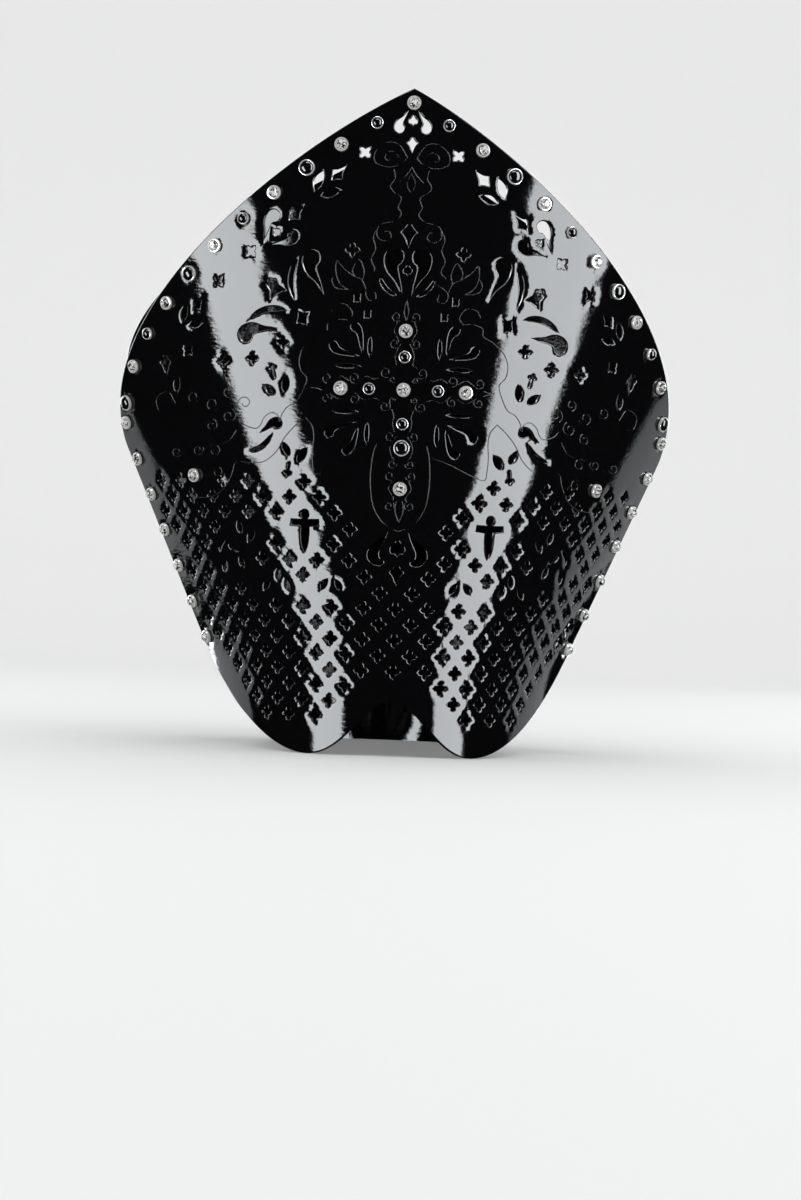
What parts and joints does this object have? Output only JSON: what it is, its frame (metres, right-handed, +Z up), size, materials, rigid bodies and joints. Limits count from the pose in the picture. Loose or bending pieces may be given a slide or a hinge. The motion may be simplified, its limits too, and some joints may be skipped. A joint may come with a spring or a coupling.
{
  "type": "bishop mitre",
  "caption": "Stiff glossy black mitre: a pierced, pointed front panel that runs down into a half mask, riveted to a plain back panel and set with crystals and black cabochons in a cross.",
  "frame": {"origin": "centre of the bounding box on the plane that the mitre stands on", "axes": "+Z up to the point, -Y out of the front panel's face, +X to the wearer's left"},
  "size_m": [0.309, 0.2084, 0.3555],
  "materials": {
    "sheet": "mirror-gloss black sheet, cut edges polished",
    "crystal": "clear faceted crystal in a bright silver-coloured cup",
    "cabochon": "polished black cabochon in a bright silver-coloured ring"
  },
  "bodies": {
    "root": {"apex_crystal": "crystal", "back_panel": "sheet", "cross_cabochon_arm_left": "cabochon", "cross_cabochon_arm_right": "cabochon", "cross_cabochon_foot": "cabochon", "cross_cabochon_stem": "cabochon", "cross_cabochon_top": "cabochon", "cross_crystal_arm_left": "crystal", "cross_crystal_arm_right": "crystal", "cross_crystal_foot": "crystal", "cross_crystal_middle": "crystal", "cross_crystal_top": "crystal", "flank_crystal_left": "crystal", "flank_crystal_right": "crystal", "front_panel": "sheet", "rim_cabochon_left_1": "cabochon", "rim_cabochon_left_11": "cabochon", "rim_cabochon_left_3": "cabochon", "rim_cabochon_left_5": "cabochon", "rim_cabochon_left_7": "cabochon", "rim_cabochon_left_9": "cabochon", "rim_cabochon_right_1": "cabochon", "rim_cabochon_right_11": "cabochon", "rim_cabochon_right_3": "cabochon", "rim_cabochon_right_5": "cabochon", "rim_cabochon_right_7": "cabochon", "rim_cabochon_right_9": "cabochon", "rim_crystal_left_10": "crystal", "rim_crystal_left_2": "crystal", "rim_crystal_left_4": "crystal", "rim_crystal_left_6": "crystal", "rim_crystal_left_8": "crystal", "rim_crystal_right_10": "crystal", "rim_crystal_right_2": "crystal", "rim_crystal_right_4": "crystal", "rim_crystal_right_6": "crystal", "rim_crystal_right_8": "crystal"}
  },
  "joints": []
}
